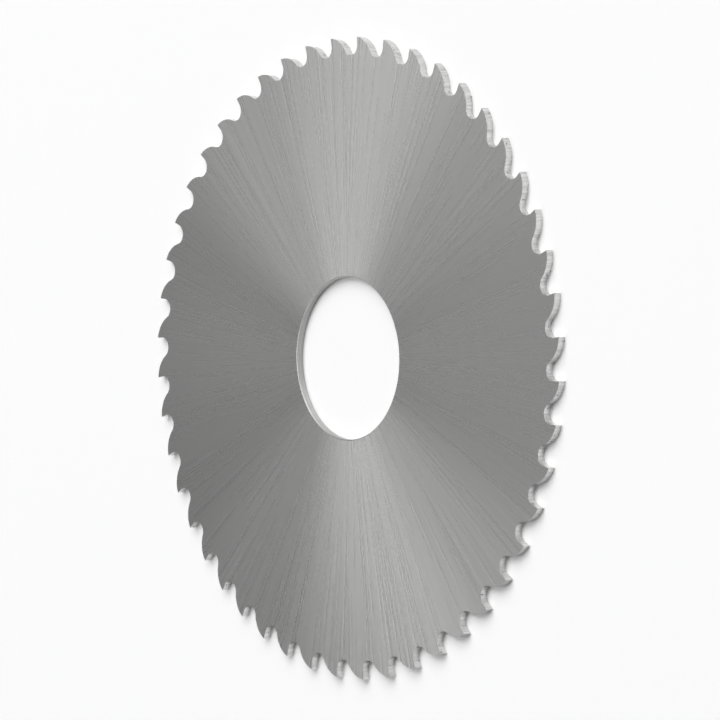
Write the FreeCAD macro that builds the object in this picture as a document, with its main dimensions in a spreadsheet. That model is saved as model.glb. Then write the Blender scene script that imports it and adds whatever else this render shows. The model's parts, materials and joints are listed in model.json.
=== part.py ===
import FreeCAD, Part
import math
import os
import Sketcher
from FreeCAD import Vector

# Slitting saw for a milling arbor: one disc of high speed steel, ground thinner towards the bore,
# with curved-back teeth round its edge. The disc lies in the XY plane with its bore along Z, and
# the origin is the middle of the bore. One cutting edge is on +X, and seen from +Z every tooth
# points anticlockwise.

# Driving dimensions: alias, value in millimetres or degrees, meaning
DIMENSIONS = [
    ("outside_diameter", 63.0, "circle through the cutting edges"),
    ("width", 0.8, "width of the slot that the saw cuts"),
    ("bore_diameter", 16.0, "plain bore on the arbor"),
    ("bore_chamfer", 0.1, "leg of the 45 degree chamfer at each end of the bore"),
    ("seat_width", 5.5, "flat ring round the bore that the arbor's flange clamps"),
    ("side_relief", 0.03, "depth of each seat below the side of the cutting edge"),
    ("tooth_count", 48, "teeth round the edge"),
    ("tooth_depth", 1.82, "from the cutting edge to the bottom of the gullet"),
    ("rake_angle", 5.0, "lean of the tooth's face under its cutting edge"),
    ("relief_angle", 6.0, "fall of the tooth's back behind its cutting edge"),
    ("gullet_radius", 1.0, "round of the gullet"),
    ("land_width", 0.04, "narrow round ground land behind the cutting edge"),
]

SHEET_NAME = "sizes"
PARTS_FOLDER = "parts"

# Sketcher's numbers for the points of a line or arc, and for the sketch's own origin and axis
START, END, CENTRE = range(1, 4)
ORIGIN = (-1, START)
ACROSS_AXIS = -1


def fill_sheet(doc):
    """Gives each driving dimension a row of its own, with its alias."""
    sheet = doc.addObject("Spreadsheet::Sheet", SHEET_NAME)
    for row, (alias, value, meaning) in enumerate(DIMENSIONS, start=1):
        sheet.set(f"A{row}", alias)
        sheet.set(f"B{row}", str(value))
        sheet.set(f"C{row}", meaning)
        sheet.setAlias(f"B{row}", alias)
    doc.recompute()
    return sheet


def sketch_on(body, role, name):
    """Starts a sketch on one of the body's own origin planes."""
    plane = next(item for item in body.Origin.OriginFeatures if item.Role == role)
    sketch = body.newObject("Sketcher::SketchObject", name)
    sketch.AttachmentSupport = [(plane, "")]
    sketch.MapMode = "FlatFace"
    return sketch


def drive(sketch, name, constraint, expression):
    """Adds a constraint whose value is worked out from the sheet."""
    index = sketch.addConstraint(constraint)
    sketch.renameConstraint(index, name)
    sketch.setExpression(f"Constraints.{name}", expression)


def draw_half_section(body, sheet):
    """Draws half of the disc's section: across is the radius, and up is the axis of the bore."""
    sketch = sketch_on(body, "XZ_Plane", "half_section")
    bore = sheet.bore_diameter / 2
    rim = sheet.width / 2
    seat = rim - sheet.side_relief
    upper = [
        (bore, seat - sheet.bore_chamfer),
        (bore + sheet.bore_chamfer, seat),
        (bore + sheet.seat_width, seat),
        (sheet.outside_diameter / 2, rim),
    ]
    corners = upper + [(across, -up) for across, up in reversed(upper)]
    sides = len(corners)
    (front_chamfer, front_seat, front_side, rim_side,
     back_side, back_seat, back_chamfer, bore_wall) = range(sides)
    for side in range(sides):
        start = Vector(*corners[side], 0)
        end = Vector(*corners[(side + 1) % sides], 0)
        sketch.addGeometry(Part.LineSegment(start, end))
    for side in range(sides):
        sketch.addConstraint(Sketcher.Constraint("Coincident", side, END, (side + 1) % sides, START))
    for front, back in [
        (front_chamfer, bore_wall),
        (front_seat, back_chamfer),
        (front_side, back_seat),
        (rim_side, back_side),
    ]:
        sketch.addConstraint(Sketcher.Constraint("Symmetric", front, START, back, START, ACROSS_AXIS))
    sketch.addConstraint(Sketcher.Constraint("Horizontal", front_seat))

    drive(sketch, "bore_radius",
          Sketcher.Constraint("DistanceX", front_chamfer, START, bore),
          "sizes.bore_diameter / 2")
    drive(sketch, "chamfer_across",
          Sketcher.Constraint("DistanceX", front_chamfer, START, front_chamfer, END, sheet.bore_chamfer),
          "sizes.bore_chamfer")
    drive(sketch, "chamfer_up",
          Sketcher.Constraint("DistanceY", front_chamfer, START, front_chamfer, END, sheet.bore_chamfer),
          "sizes.bore_chamfer")
    drive(sketch, "seat_radius",
          Sketcher.Constraint("DistanceX", front_seat, END, bore + sheet.seat_width),
          "sizes.bore_diameter / 2 + sizes.seat_width")
    drive(sketch, "seat_thickness",
          Sketcher.Constraint("DistanceY", back_chamfer, START, front_seat, START, 2 * seat),
          "sizes.width - 2 * sizes.side_relief")
    drive(sketch, "outside_radius",
          Sketcher.Constraint("DistanceX", front_side, END, sheet.outside_diameter / 2),
          "sizes.outside_diameter / 2")
    drive(sketch, "rim_width",
          Sketcher.Constraint("DistanceY", back_side, START, rim_side, START, sheet.width),
          "sizes.width")
    return sketch


def arc(centre, radius, start, end):
    """Arc that runs anticlockwise from one point to the other."""
    to_start, to_end = start - centre, end - centre
    first = math.atan2(to_start.y, to_start.x)
    sweep = (math.atan2(to_end.y, to_end.x) - first) % (2 * math.pi)
    return Part.ArcOfCircle(Part.Circle(centre, Vector(0, 0, 1), radius), first, first + sweep)


def draw_tooth_gap(body, sheet):
    """Draws the gap between the tooth on +X and the next one, left open past the outside.

    The first tooth's straight face falls from its cutting edge into the round gullet. From there
    one arc, the next tooth's curved back, rises to the heel of that tooth's land.
    """
    sketch = sketch_on(body, "XY_Plane", "tooth_gap")
    outside = sheet.outside_diameter / 2
    gullet = sheet.gullet_radius
    rake = math.radians(sheet.rake_angle)

    # The gullet's centre is one radius off the tooth's face, and its bottom is at full depth
    edge = Vector(outside, 0, 0)
    down_face = Vector(-math.cos(rake), -math.sin(rake), 0)
    off_face = edge + Vector(-math.sin(rake), math.cos(rake), 0) * gullet
    centre_reach = outside - sheet.tooth_depth + gullet
    fall = -off_face.dot(down_face)
    face_length = fall - math.sqrt(fall ** 2 - off_face.dot(off_face) + centre_reach ** 2)
    face_end = edge + down_face * face_length
    gullet_centre = off_face + down_face * face_length

    # The back leaves the heel at the relief angle and meets the gullet without a corner
    heel_angle = 2 * math.pi / sheet.tooth_count - sheet.land_width / outside
    outward = Vector(math.cos(heel_angle), math.sin(heel_angle), 0)
    heel = outward * outside
    inward_angle = heel_angle - math.radians(sheet.relief_angle)
    inward = Vector(-math.cos(inward_angle), -math.sin(inward_angle), 0)
    span = heel - gullet_centre
    back = (span.dot(span) - gullet ** 2) / (2 * (gullet - span.dot(inward)))
    back_centre = heel + inward * back
    meet = gullet_centre + (back_centre - gullet_centre) * (gullet / (gullet + back))

    far_reach = outside + sheet.tooth_depth
    far_edge = Vector(far_reach, 0, 0)
    far_heel = outward * far_reach
    centre = Vector(0, 0, 0)
    outline = [
        Part.LineSegment(edge, face_end),
        arc(gullet_centre, gullet, meet, face_end),
        arc(back_centre, back, meet, heel),
        Part.LineSegment(heel, far_heel),
        Part.LineSegment(far_heel, far_edge),
        Part.LineSegment(far_edge, edge),
    ]
    spokes = [
        Part.LineSegment(centre, edge),
        Part.LineSegment(centre, heel),
        Part.LineSegment(back_centre, heel),
    ]
    sketch.addGeometry(outline, False)
    sketch.addGeometry(spokes, True)
    face_side, gullet_arc, back_arc, heel_side, far_side, edge_side = range(len(outline))
    edge_spoke, heel_spoke, back_spoke = range(len(outline), len(outline) + len(spokes))

    for rule in [
        ("Tangent", face_side, END, gullet_arc, END),
        ("Tangent", gullet_arc, START, back_arc, START),
        ("Coincident", back_arc, END, heel_side, START),
        ("Coincident", heel_side, END, far_side, START),
        ("Coincident", far_side, END, edge_side, START),
        ("Coincident", edge_side, END, face_side, START),
        ("Coincident", edge_spoke, START, *ORIGIN),
        ("Coincident", edge_spoke, END, face_side, START),
        ("Coincident", heel_spoke, START, *ORIGIN),
        ("Coincident", heel_spoke, END, back_arc, END),
        ("Coincident", back_spoke, START, back_arc, CENTRE),
        ("Coincident", back_spoke, END, back_arc, END),
        ("Horizontal", edge_spoke),
        ("Horizontal", edge_side),
        ("Parallel", heel_side, heel_spoke),
        ("Equal", heel_spoke, edge_spoke),
        ("Equal", heel_side, edge_side),
    ]:
        sketch.addConstraint(Sketcher.Constraint(*rule))

    drive(sketch, "outside_radius",
          Sketcher.Constraint("Distance", edge_spoke, outside),
          "sizes.outside_diameter / 2")
    drive(sketch, "open_height",
          Sketcher.Constraint("Distance", edge_side, sheet.tooth_depth),
          "sizes.tooth_depth")
    drive(sketch, "rake",
          Sketcher.Constraint("Angle", edge_spoke, END, face_side, START, rake),
          "sizes.rake_angle")
    drive(sketch, "gullet_radius",
          Sketcher.Constraint("Radius", gullet_arc, gullet),
          "sizes.gullet_radius")
    drive(sketch, "gullet_reach",
          Sketcher.Constraint("Distance", *ORIGIN, gullet_arc, CENTRE, centre_reach),
          "sizes.outside_diameter / 2 - sizes.tooth_depth + sizes.gullet_radius")
    drive(sketch, "heel_angle",
          Sketcher.Constraint("Angle", edge_spoke, START, heel_spoke, START, heel_angle),
          "360 / sizes.tooth_count - sizes.land_width / (sizes.outside_diameter / 2) * 180 / pi")
    drive(sketch, "relief",
          Sketcher.Constraint("Angle", back_spoke, END, heel_spoke, END, heel_angle - inward_angle),
          "sizes.relief_angle")
    return sketch


def make_saw_blade(doc, sheet):
    """Turns the disc and grinds one gap right through it, then repeats that gap round the edge."""
    body = doc.addObject("PartDesign::Body", "SawBlade")
    body.Label = "saw_blade"

    section = draw_half_section(body, sheet)
    disc = body.newObject("PartDesign::Revolution", "disc")
    disc.Profile = section
    disc.ReferenceAxis = (section, ["V_Axis"])
    disc.Angle = 360
    doc.recompute()

    gap_outline = draw_tooth_gap(body, sheet)
    gap = body.newObject("PartDesign::Pocket", "gap")
    gap.Profile = gap_outline
    gap.Type = "ThroughAll"
    gap.SideType = "Symmetric"
    doc.recompute()

    teeth = body.newObject("PartDesign::PolarPattern", "teeth")
    teeth.Originals = [gap]
    teeth.Axis = (gap_outline, ["N_Axis"])
    teeth.Angle = 360
    teeth.setExpression("Occurrences", "sizes.tooth_count")
    body.Tip = teeth
    doc.recompute()

    one_gap = disc.Shape.Volume - gap.Shape.Volume
    all_gaps = disc.Shape.Volume - teeth.Shape.Volume
    print(f"disc {disc.Shape.Volume:.3f} mm3, one gap {one_gap:.4f} mm3, all gaps {all_gaps:.3f} mm3")
    if one_gap <= 0 or abs(all_gaps - sheet.tooth_count * one_gap) > 0.001 * all_gaps:
        raise RuntimeError("The gaps between the teeth aren't all cut")
    return body


def check_document(doc, bodies):
    """Stops before anything is written if an object failed or a solid isn't sound."""
    doc.recompute()
    for item in doc.Objects:
        if "Invalid" in item.State or "Error" in item.State:
            raise RuntimeError(f"{item.Label} failed: {item.State}")
    for sketch in doc.findObjects("Sketcher::SketchObject"):
        if sketch.solve() != 0 or not sketch.FullyConstrained:
            raise RuntimeError(f"{sketch.Label} isn't fully constrained")
    for body in bodies:
        shape = body.Shape
        if shape.isNull() or not shape.isValid() or len(shape.Solids) != 1:
            raise RuntimeError(f"{body.Label} isn't one sound solid")


def write_parts(bodies):
    os.makedirs(PARTS_FOLDER, exist_ok=True)
    for body in bodies:
        body.Shape.exportStep(os.path.join(PARTS_FOLDER, f"{body.Label}.step"))
        box = body.Shape.BoundBox
        print(f"{body.Label}: {body.Shape.Volume:.3f} mm3, {len(body.Shape.Faces)} faces, "
              f"X {box.XMin:.4f} to {box.XMax:.4f}, Y {box.YMin:.4f} to {box.YMax:.4f}, "
              f"Z {box.ZMin:.4f} to {box.ZMax:.4f}")


doc = FreeCAD.newDocument("slitting_saw")
sizes = fill_sheet(doc)
bodies = [make_saw_blade(doc, sizes)]
check_document(doc, bodies)
write_parts(bodies)
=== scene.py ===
# Slitting saw lying flat on a pale floor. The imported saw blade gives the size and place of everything.
import json
import math

import bpy
from mathutils import Matrix, Vector


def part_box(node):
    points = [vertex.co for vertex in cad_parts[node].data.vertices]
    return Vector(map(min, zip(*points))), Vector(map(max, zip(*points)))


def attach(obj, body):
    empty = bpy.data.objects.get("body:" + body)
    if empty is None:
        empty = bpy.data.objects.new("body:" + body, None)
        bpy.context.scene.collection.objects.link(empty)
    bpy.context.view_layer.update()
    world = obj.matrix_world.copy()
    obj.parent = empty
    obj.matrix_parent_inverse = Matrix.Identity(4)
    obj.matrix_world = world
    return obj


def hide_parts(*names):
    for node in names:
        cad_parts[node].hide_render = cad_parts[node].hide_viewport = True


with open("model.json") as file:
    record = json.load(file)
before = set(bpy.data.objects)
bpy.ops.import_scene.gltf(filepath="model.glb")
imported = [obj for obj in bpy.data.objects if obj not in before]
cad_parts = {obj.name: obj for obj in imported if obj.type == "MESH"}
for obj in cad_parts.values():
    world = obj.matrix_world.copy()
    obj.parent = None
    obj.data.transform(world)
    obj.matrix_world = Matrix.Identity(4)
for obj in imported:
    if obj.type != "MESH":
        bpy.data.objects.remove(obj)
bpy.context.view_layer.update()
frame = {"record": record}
mm = 0.001
print("frame loaded")


# Sizes that the frame already holds, in metres
mounts = {mount["name"]: mount for mount in frame["record"]["mounts"]}
lowCorner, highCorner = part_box("saw_blade")
outerRadius = highCorner.x
halfWidth = highCorner.z
boreRadius = mounts["bore"]["dims"]["r_mm"] * mm
seatHeight = mounts["flange_seat_front"]["pos_m"][2]
boreChamfer = seatHeight - mounts["bore"]["dims"]["length_mm"] * mm / 2


# Shader helpers

def addNode(tree, kind, place, **settings):
    node = tree.nodes.new(kind)
    node.location = place
    for name, value in settings.items():
        setattr(node, name, value)
    return node


def addMath(tree, operation, place, first, second=None):
    node = addNode(tree, "ShaderNodeMath", place, operation=operation)
    for socket, value in zip(node.inputs, (first, second)):
        if isinstance(value, bpy.types.NodeSocket):
            tree.links.new(value, socket)
        elif value is not None:
            socket.default_value = value
    return node.outputs[0]


def newGroup(name, inputs, outputs):
    group = bpy.data.node_groups.new(name, "ShaderNodeTree")
    for socketName, value in inputs.items():
        socket = group.interface.new_socket(socketName, in_out="INPUT", socket_type="NodeSocketFloat")
        socket.default_value = value
    for socketName in outputs:
        group.interface.new_socket(socketName, in_out="OUTPUT", socket_type="NodeSocketFloat")
    start = addNode(group, "NodeGroupInput", (-1200, 0))
    end = addNode(group, "NodeGroupOutput", (800, 0))
    return group, start.outputs, end.inputs


def placeGroup(tree, group, place, **values):
    node = addNode(tree, "ShaderNodeGroup", place, node_tree=group)
    for name, value in values.items():
        node.inputs[name].default_value = value
    return node.outputs


def stretchNoise(tree, noise, contrast, place):
    # noise sits close to 0.5, so it is spread about its middle and kept between 0 and 1
    centred = addMath(tree, "SUBTRACT", place, noise, 0.5)
    spread = addMath(tree, "MULTIPLY", (place[0] + 160, place[1]), centred, contrast)
    lifted = addMath(tree, "ADD", (place[0] + 320, place[1]), spread, 0.5)
    lifted.node.use_clamp = True
    return lifted


# how much of the finer noise the marks on the sides keep, and how many steps of it the marks on the walls have
radialRoughness = 0.6
wallDetail = 3


def buildRadialMarks():
    # grinding marks that run out from the bore, each wider towards the teeth
    group, given, result = newGroup(
        "radialMarks",
        {"Across": 120.0, "Length": 0.01, "Twist": 0.0, "Seed": 0.0, "Contrast": 2.0, "Detail": 2.0},
        ["Marks"],
    )
    links = group.links
    coord = addNode(group, "ShaderNodeTexCoord", (-1200, 300))
    flat = addNode(group, "ShaderNodeVectorMath", (-1020, 300), operation="MULTIPLY")
    flat.inputs[1].default_value = (1, 1, 0)
    links.new(coord.outputs["Object"], flat.inputs[0])
    reach = addNode(group, "ShaderNodeVectorMath", (-840, 420), operation="LENGTH")
    links.new(flat.outputs[0], reach.inputs[0])
    outward = addNode(group, "ShaderNodeVectorMath", (-840, 260), operation="NORMALIZE")
    links.new(flat.outputs[0], outward.inputs[0])
    lean = addMath(group, "MULTIPLY", (-660, 420), reach.outputs["Value"], given["Twist"])
    turned = addNode(group, "ShaderNodeVectorRotate", (-480, 260), rotation_type="Z_AXIS")
    links.new(outward.outputs[0], turned.inputs["Vector"])
    links.new(lean, turned.inputs["Angle"])
    around = addNode(group, "ShaderNodeVectorMath", (-300, 260), operation="SCALE")
    links.new(turned.outputs[0], around.inputs[0])
    links.new(given["Across"], around.inputs["Scale"])
    split = addNode(group, "ShaderNodeSeparateXYZ", (-120, 260))
    links.new(around.outputs[0], split.inputs[0])
    along = addMath(group, "DIVIDE", (-120, 420), reach.outputs["Value"], given["Length"])
    joined = addNode(group, "ShaderNodeCombineXYZ", (60, 300))
    links.new(split.outputs["X"], joined.inputs["X"])
    links.new(split.outputs["Y"], joined.inputs["Y"])
    links.new(along, joined.inputs["Z"])
    noise = addNode(group, "ShaderNodeTexNoise", (240, 300), noise_dimensions="4D")
    noise.inputs["Scale"].default_value = 1
    noise.inputs["Roughness"].default_value = radialRoughness
    links.new(joined.outputs[0], noise.inputs["Vector"])
    links.new(given["Seed"], noise.inputs["W"])
    links.new(given["Detail"], noise.inputs["Detail"])
    links.new(stretchNoise(group, noise.outputs[0], given["Contrast"], (420, 300)), result["Marks"])
    return group


def buildEdgeMarks():
    # grinding marks on a wall of the blade: level ones where Level is low, upright ones where Upright is
    group, given, result = newGroup(
        "edgeMarks",
        {"Level": 600.0, "Upright": 16000.0, "Seed": 0.0, "Contrast": 2.0},
        ["Marks"],
    )
    links = group.links
    coord = addNode(group, "ShaderNodeTexCoord", (-1000, 300))
    split = addNode(group, "ShaderNodeSeparateXYZ", (-820, 300))
    links.new(coord.outputs["Object"], split.inputs[0])
    joined = addNode(group, "ShaderNodeCombineXYZ", (-400, 300))
    for row, (axis, rate) in enumerate([("X", "Level"), ("Y", "Level"), ("Z", "Upright")]):
        scaled = addMath(group, "MULTIPLY", (-620, 400 - 160 * row), split.outputs[axis], given[rate])
        links.new(scaled, joined.inputs[axis])
    noise = addNode(group, "ShaderNodeTexNoise", (-220, 300), noise_dimensions="4D")
    noise.inputs["Scale"].default_value = 1
    noise.inputs["Detail"].default_value = wallDetail
    links.new(joined.outputs[0], noise.inputs["Vector"])
    links.new(given["Seed"], noise.inputs["W"])
    links.new(stretchNoise(group, noise.outputs[0], given["Contrast"], (0, 300)), result["Marks"])
    return group


radialMarks = buildRadialMarks()
edgeMarks = buildEdgeMarks()
print("shader groups built")


# Materials of the blade

def newMetal(name, look):
    material = bpy.data.materials.new(name)
    material.use_nodes = True
    tree = material.node_tree
    shader = tree.nodes["Principled BSDF"]
    shader.inputs["Metallic"].default_value = 1
    shader.inputs["Anisotropic"].default_value = look["anisotropy"]
    return material, tree, shader


def mixColours(tree, place, factor, first, second):
    mix = addNode(tree, "ShaderNodeMix", place, data_type="RGBA")
    tree.links.new(factor, mix.inputs["Factor"])
    mix.inputs["A"].default_value = (*first, 1)
    mix.inputs["B"].default_value = (*second, 1)
    return mix.outputs["Result"]


def spreadOver(tree, place, value, low, high):
    spread = addNode(tree, "ShaderNodeMapRange", place)
    spread.inputs["To Min"].default_value = low
    spread.inputs["To Max"].default_value = high
    tree.links.new(value, spread.inputs["Value"])
    return spread.outputs["Result"]


def addBump(tree, shader, place, height, depth):
    bump = addNode(tree, "ShaderNodeBump", place)
    bump.inputs["Strength"].default_value = 1
    bump.inputs["Distance"].default_value = depth
    tree.links.new(height, bump.inputs["Height"])
    tree.links.new(bump.outputs["Normal"], shader.inputs["Normal"])


sideFinish = {
    "darkSteel": (0.545, 0.545, 0.54),
    "lightSteel": (0.615, 0.615, 0.61),
    "roughness": (0.245, 0.315),
    "anisotropy": 0.9,
    "markDepth": 0.02 * mm,
    # the marks across the disc, and how much each kind of them has in the tone
    "marks": [
        {"Across": 100, "Length": 70 * mm, "Twist": 0, "Seed": 2, "Contrast": 1.4, "Detail": 1},
        {"Across": 150, "Length": 50 * mm, "Twist": 1.2, "Seed": 5, "Contrast": 1.4, "Detail": 0},
        {"Across": 36, "Length": 70 * mm, "Twist": -1, "Seed": 9, "Contrast": 1.2, "Detail": 0},
    ],
    "shares": (0.4, 0.4, 0.2),
}


def makeSideMetal():
    look = sideFinish
    material, tree, shader = newMetal("groundSide", look)
    total = None
    for row, (values, share) in enumerate(zip(look["marks"], look["shares"])):
        marks = placeGroup(tree, radialMarks, (-1200, 500 - 260 * row), **values)["Marks"]
        part = addMath(tree, "MULTIPLY", (-980, 500 - 260 * row), marks, share)
        total = part if total is None else addMath(tree, "ADD", (-780, 500 - 260 * row), total, part)
    colour = mixColours(tree, (-500, 500), total, look["darkSteel"], look["lightSteel"])
    tree.links.new(colour, shader.inputs["Base Color"])
    tree.links.new(spreadOver(tree, (-500, 250), total, *look["roughness"]), shader.inputs["Roughness"])
    addBump(tree, shader, (-500, -50), total, look["markDepth"])
    tangent = addNode(tree, "ShaderNodeTangent", (-500, -300), direction_type="RADIAL", axis="Z")
    tree.links.new(tangent.outputs[0], shader.inputs["Tangent"])
    return material


# each wall: its two tones of steel, how rough it is and how drawn out its shine, the height of its marks, and
# how they run. The form wheel leaves upright marks in the gullets and a few dark pits, the bore is ground round
wallFinishes = {
    "groundTeeth": {
        "steel": ((0.47, 0.47, 0.465), (0.79, 0.79, 0.785)),
        "roughness": (0.07, 0.12),
        "anisotropy": 0.5,
        "markDepth": 0.004 * mm,
        "marks": {"Level": 5500, "Upright": 500, "Seed": 3, "Contrast": 2.4},
        "pits": {"rate": 3600, "detail": 1, "from": 0.70, "to": 0.74, "colour": (0.12, 0.12, 0.12)},
    },
    "groundBore": {
        "steel": ((0.42, 0.42, 0.415), (0.58, 0.58, 0.575)),
        "roughness": (0.34, 0.42),
        "anisotropy": 0.9,
        "markDepth": 0.002 * mm,
        "marks": {"Level": 300, "Upright": 12000, "Seed": 7, "Contrast": 2.0},
    },
    "turnedChamfer": {
        "steel": ((0.50, 0.50, 0.495), (0.62, 0.62, 0.615)),
        "roughness": (0.34, 0.42),
        "anisotropy": 0.5,
        "markDepth": 0.002 * mm,
        "marks": {"Level": 300, "Upright": 12000, "Seed": 11, "Contrast": 2.0},
    },
}


def pitMask(tree, place, look):
    # small dark pits, where a fine noise is at its highest
    coord = addNode(tree, "ShaderNodeTexCoord", place)
    noise = addNode(tree, "ShaderNodeTexNoise", (place[0] + 180, place[1]))
    noise.inputs["Scale"].default_value = look["rate"]
    noise.inputs["Detail"].default_value = look["detail"]
    tree.links.new(coord.outputs["Object"], noise.inputs["Vector"])
    mask = addNode(tree, "ShaderNodeMapRange", (place[0] + 360, place[1]))
    mask.inputs["From Min"].default_value = look["from"]
    mask.inputs["From Max"].default_value = look["to"]
    tree.links.new(noise.outputs[0], mask.inputs["Value"])
    return mask.outputs["Result"]


def makeWallMetal(name):
    look = wallFinishes[name]
    material, tree, shader = newMetal(name, look)
    marks = placeGroup(tree, edgeMarks, (-1200, 300), **look["marks"])["Marks"]
    colour = mixColours(tree, (-800, 500), marks, *look["steel"])
    if "pits" in look:
        pitted = addNode(tree, "ShaderNodeMix", (-500, 700), data_type="RGBA")
        pitted.inputs["B"].default_value = (*look["pits"]["colour"], 1)
        tree.links.new(pitMask(tree, (-1200, 800), look["pits"]), pitted.inputs["Factor"])
        tree.links.new(colour, pitted.inputs["A"])
        colour = pitted.outputs["Result"]
    tree.links.new(colour, shader.inputs["Base Color"])
    tree.links.new(spreadOver(tree, (-500, 250), marks, *look["roughness"]), shader.inputs["Roughness"])
    addBump(tree, shader, (-500, -50), marks, look["markDepth"])
    upright = addNode(tree, "ShaderNodeCombineXYZ", (-500, -300))
    upright.inputs["Z"].default_value = 1
    tree.links.new(upright.outputs[0], shader.inputs["Tangent"])
    return material


# The blade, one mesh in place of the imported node

# the teeth and the seat are as on the part; rootRing is how far below the teeth the rings of faces turn round,
# and ringPull and ringLag are how ringAngles moves their points
bladeShape = {
    "toothCount": 48,
    "toothDepth": 1.82 * mm,
    "rake": math.radians(5),
    "relief": math.radians(6),
    "gulletRadius": 1.0 * mm,
    "landWidth": 0.04 * mm,
    "seatWidth": 5.5 * mm,
    "edgeBreak": 0.006 * mm,
    "cornerLimit": 0.4,
    "rootRing": 0.5 * mm,
    "ringPull": 0.7,
    "ringLag": math.radians(1),
    "facePoints": 5,
    "gulletPoints": 18,
    "backPoints": 20,
    "sideRings": 5,
    "chamferCuts": 2,
    "sharpAngle": math.radians(20),
}


def arcPoints(centre, start, end, turn, count):
    # points of an arc from start to end, turning one way, without its first point
    first = math.atan2(start.y - centre.y, start.x - centre.x)
    last = math.atan2(end.y - centre.y, end.x - centre.x)
    sweep = turn * ((turn * (last - first)) % (2 * math.pi))
    radius = (start - centre).length
    angles = [first + sweep * step / count for step in range(1, count + 1)]
    return [centre + radius * Vector((math.cos(angle), math.sin(angle))) for angle in angles]


def outlinePitch(shape):
    # from the cutting edge on +X anticlockwise to the heel of the next tooth's land
    depth, gullet = shape["toothDepth"], shape["gulletRadius"]
    rake, relief = shape["rake"], shape["relief"]
    edge = Vector((outerRadius, 0))
    downFace = Vector((-math.cos(rake), -math.sin(rake)))
    offFace = edge + gullet * Vector((-math.sin(rake), math.cos(rake)))
    centreReach = outerRadius - depth + gullet
    fall = -offFace.dot(downFace)
    faceLength = fall - math.sqrt(fall ** 2 - offFace.length_squared + centreReach ** 2)
    faceEnd = edge + downFace * faceLength
    gulletCentre = offFace + downFace * faceLength

    heelAngle = 2 * math.pi / shape["toothCount"] - shape["landWidth"] / outerRadius
    heel = outerRadius * Vector((math.cos(heelAngle), math.sin(heelAngle)))
    inward = -Vector((math.cos(heelAngle - relief), math.sin(heelAngle - relief)))
    span = heel - gulletCentre
    back = (span.length_squared - gullet ** 2) / (2 * (gullet - span.dot(inward)))
    backCentre = heel + inward * back
    meet = gulletCentre + (backCentre - gulletCentre) * (gullet / (gullet + back))

    steps = shape["facePoints"]
    points = [edge.lerp(faceEnd, step / steps) for step in range(steps + 1)]
    points += arcPoints(gulletCentre, faceEnd, meet, -1, shape["gulletPoints"])
    points += arcPoints(backCentre, meet, heel, 1, shape["backPoints"])
    return points


def turned(point, angle):
    return Vector((point.x * math.cos(angle) - point.y * math.sin(angle),
                   point.x * math.sin(angle) + point.y * math.cos(angle)))


def outlineRound(shape):
    pitch = outlinePitch(shape)
    step = 2 * math.pi / shape["toothCount"]
    return [turned(point, step * tooth) for tooth in range(shape["toothCount"]) for point in pitch]


def insetOutline(points, distance, cornerLimit):
    # each point moves into the steel, square to the outline, and further at a corner, up to a limit
    moved = []
    for index, point in enumerate(points):
        before = (point - points[index - 1]).normalized()
        after = (points[(index + 1) % len(points)] - point).normalized()
        intoSteel = [Vector((-side.y, side.x)) for side in (before, after)]
        middle = (intoSteel[0] + intoSteel[1]).normalized()
        reach = distance / max(middle.dot(intoSteel[0]), cornerLimit)
        moved.append(point + middle * reach)
    return moved


def ringAngles(pitch, shape):
    # the angle that each point of a pitch keeps on the rings inside: between its own angle and its share
    # of the pitch's length, and a little behind, so that no face folds under a hooked tooth
    step = 2 * math.pi / shape["toothCount"]
    lengths = [0.0]
    for before, after in zip(pitch, pitch[1:] + [turned(pitch[0], step)]):
        lengths.append(lengths[-1] + (after - before).length)
    angles = []
    for point, length in zip(pitch, lengths):
        share = step * length / lengths[-1]
        own = math.atan2(point.y, point.x)
        angles.append(share + (own - share) * shape["ringPull"] - shape["ringLag"])
    return [step * tooth + angle for tooth in range(shape["toothCount"]) for angle in angles]


def sideHeight(radius, shape):
    seatRadius = boreRadius + shape["seatWidth"]
    share = max(0, (radius - seatRadius) / (outerRadius - seatRadius))
    return seatHeight + (halfWidth - seatHeight) * share


def bladeRings(shape):
    # rings of points with their finish: the front's from the bore out to the teeth, then the back's inwards
    outline = outlineRound(shape)
    shrunk = insetOutline(outline, shape["edgeBreak"], shape["cornerLimit"])
    angles = ringAngles(outlinePitch(shape), shape)
    seatRadius = boreRadius + shape["seatWidth"]
    rootRadius = outerRadius - shape["toothDepth"] - shape["rootRing"]
    rings = [("bore", boreRadius, seatHeight - boreChamfer)]
    for cut in range(1, shape["chamferCuts"] + 1):
        lean = math.pi / 2 * cut / shape["chamferCuts"]
        radius = boreRadius + boreChamfer * (1 - math.cos(lean))
        rings.append(("chamfer", radius, seatHeight - boreChamfer * (1 - math.sin(lean))))
    for ring in range(shape["sideRings"]):
        radius = seatRadius + (rootRadius - seatRadius) * ring / (shape["sideRings"] - 1)
        rings.append(("side", radius, sideHeight(radius, shape)))
    front = []
    for material, radius, height in rings:
        circle = [Vector((radius * math.cos(angle), radius * math.sin(angle), height)) for angle in angles]
        front.append((material, circle))
    face = [point.to_3d() + Vector((0, 0, sideHeight(point.length, shape))) for point in shrunk]
    front.append(("side", face))
    drop = shape["edgeBreak"]
    rim = [point.to_3d() + Vector((0, 0, sideHeight(point.length, shape) - drop)) for point in outline]
    front.append(("break", rim))
    back = []
    for material, ring in reversed(front):
        back.append((material, [Vector((point.x, point.y, -point.z)) for point in ring]))
    return front, back


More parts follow.
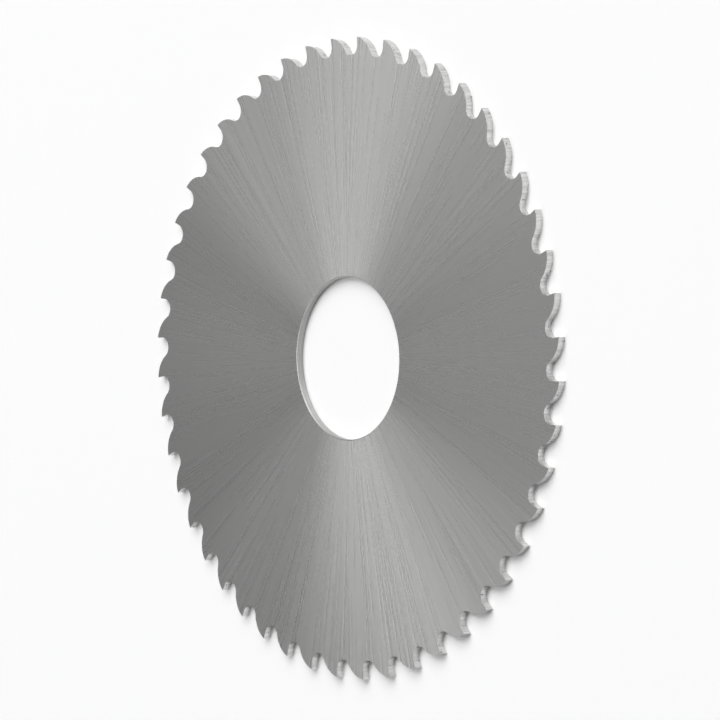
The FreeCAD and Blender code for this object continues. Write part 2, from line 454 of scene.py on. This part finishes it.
def makeBlade(shape, materials):
    front, back = bladeRings(shape)
    count = len(front[0][1])
    rings = [ring for _, ring in front + back]
    # a band of faces has the finish of its outer ring, on the front and behind alike
    bands = [material for material, _ in front[1:]] + ["wall"]
    bands += [material for material, _ in back[:-1]] + ["bore"]
    slots = list(materials)
    points = [point for ring in rings for point in ring]
    faces, faceSlots = [], []
    for band, material in enumerate(bands):
        this, following = band * count, (band + 1) % len(rings) * count
        for index in range(count):
            beside = (index + 1) % count
            faces.append((this + index, following + index, following + beside, this + beside))
            faceSlots.append(slots.index(material))
    mesh = bpy.data.meshes.new("sawBladeGround")
    mesh.from_pydata(points, [], faces)
    mesh.update()
    for material in materials.values():
        mesh.materials.append(material)
    mesh.polygons.foreach_set("material_index", faceSlots)
    mesh.shade_smooth()
    mesh.set_sharp_from_angle(angle=shape["sharpAngle"])
    blade = bpy.data.objects.new("sawBladeGround", mesh)
    bpy.context.collection.objects.link(blade)
    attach(blade, "root")
    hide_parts("saw_blade")
    return blade


sideMetal = makeSideMetal()
blade = makeBlade(bladeShape, {
    "side": sideMetal,
    "wall": makeWallMetal("groundTeeth"),
    "break": sideMetal,
    "bore": makeWallMetal("groundBore"),
    "chamfer": makeWallMetal("turnedChamfer"),
})
print("blade built", len(blade.data.polygons), "faces")


# Floor, lamps, world and camera

floorLook = {"size": 8.0, "colour": (0.95, 0.95, 0.95), "roughness": 1, "specular": 0}


def makeFloor(look):
    half = look["size"] / 2
    mesh = bpy.data.meshes.new("paleFloor")
    corners = [(-half, -half, 0), (half, -half, 0), (half, half, 0), (-half, half, 0)]
    mesh.from_pydata(corners, [], [(0, 1, 2, 3)])
    floor = bpy.data.objects.new("paleFloor", mesh)
    floor.location.z = lowCorner.z
    bpy.context.collection.objects.link(floor)
    material = bpy.data.materials.new("palePaper")
    material.use_nodes = True
    shader = material.node_tree.nodes["Principled BSDF"]
    shader.inputs["Base Color"].default_value = (*look["colour"], 1)
    shader.inputs["Roughness"].default_value = look["roughness"]
    shader.inputs["Specular IOR Level"].default_value = look["specular"]
    mesh.materials.append(material)
    return floor


# each lamp: where it hangs, seen from the bore, in degrees and metres, its width and height, and its watts
lamps = {
    "keyLamp": {"heading": -8, "height": 43, "away": 3.0, "size": (3.4, 2.8), "power": 108},
    "highPanel": {"heading": 97, "height": 73, "away": 1.5, "size": (0.7, 0.42), "power": 3.7},
    "farStrip": {"heading": 90, "height": 57, "away": 1.5, "size": (0.4, 1.24), "power": 0.8},
    "sidePanel": {"heading": 135, "height": 57, "away": 1.5, "size": (0.65, 0.4), "power": 1.05},
    "lowStrip": {"heading": 120, "height": 27, "away": 1.5, "size": (0.4, 1.24), "power": 0.8},
    "fillPanel": {"heading": -90, "height": 72, "away": 1.5, "size": (0.6, 0.6), "power": 1.4},
}


def fromBore(heading, height, away):
    return Vector((math.cos(math.radians(heading)) * math.cos(math.radians(height)),
                   math.sin(math.radians(heading)) * math.cos(math.radians(height)),
                   math.sin(math.radians(height)))) * away


def makeLamp(name, look):
    light = bpy.data.lights.new(name, "AREA")
    light.shape = "RECTANGLE"
    light.size, light.size_y = look["size"]
    light.energy = look["power"]
    lamp = bpy.data.objects.new(name, light)
    lamp.location = fromBore(look["heading"], look["height"], look["away"])
    lamp.rotation_euler = lamp.location.to_track_quat("Z", "Y").to_euler()
    bpy.context.collection.objects.link(lamp)
    return lamp


# how bright the room is at the height of the blade and straight above it
worldLook = {"horizon": 0.26, "zenith": 0.05}


def makeWorld(look):
    world = bpy.data.worlds.new("softRoom")
    bpy.context.scene.world = world
    world.use_nodes = True
    tree = world.node_tree
    coord = addNode(tree, "ShaderNodeTexCoord", (-800, 0))
    split = addNode(tree, "ShaderNodeSeparateXYZ", (-600, 0))
    tree.links.new(coord.outputs["Generated"], split.inputs[0])
    level = spreadOver(tree, (-400, 0), split.outputs["Z"], look["horizon"], look["zenith"])
    tree.links.new(level, tree.nodes["Background"].inputs["Color"])
    return world


# lens, place and turn that fit the photograph's perspective; aim is the point of the blade that it looks at
cameraLook = {
    "lens": 217.9,
    "sensor": 36.0,
    "heading": -85.38,
    "height": 38.72,
    "roll": -91.14,
    "away": 426.15 * mm,
    "aim": (-0.03 * mm, -2.04 * mm, halfWidth),
    "clip": (0.01, 20),
}


def makeCamera(look):
    data = bpy.data.cameras.new("photoCamera")
    data.lens = look["lens"]
    data.sensor_width = look["sensor"]
    data.clip_start, data.clip_end = look["clip"]
    camera = bpy.data.objects.new("photoCamera", data)
    toCamera = fromBore(look["heading"], look["height"], 1)
    level = Vector((0, 0, 1)).cross(toCamera).normalized()
    upright = toCamera.cross(level)
    facing = Matrix((level, upright, toCamera)).transposed()
    spin = Matrix.Rotation(math.radians(look["roll"]), 3, "Z")
    camera.rotation_euler = (facing @ spin).to_euler()
    camera.location = Vector(look["aim"]) + look["away"] * toCamera
    bpy.context.collection.objects.link(camera)
    bpy.context.scene.camera = camera
    return camera


makeFloor(floorLook)
for lampName, lampLook in lamps.items():
    makeLamp(lampName, lampLook)
makeWorld(worldLook)
makeCamera(cameraLook)
bpy.context.scene.view_settings.view_transform = "Standard"
print("floor, lamps and camera placed")
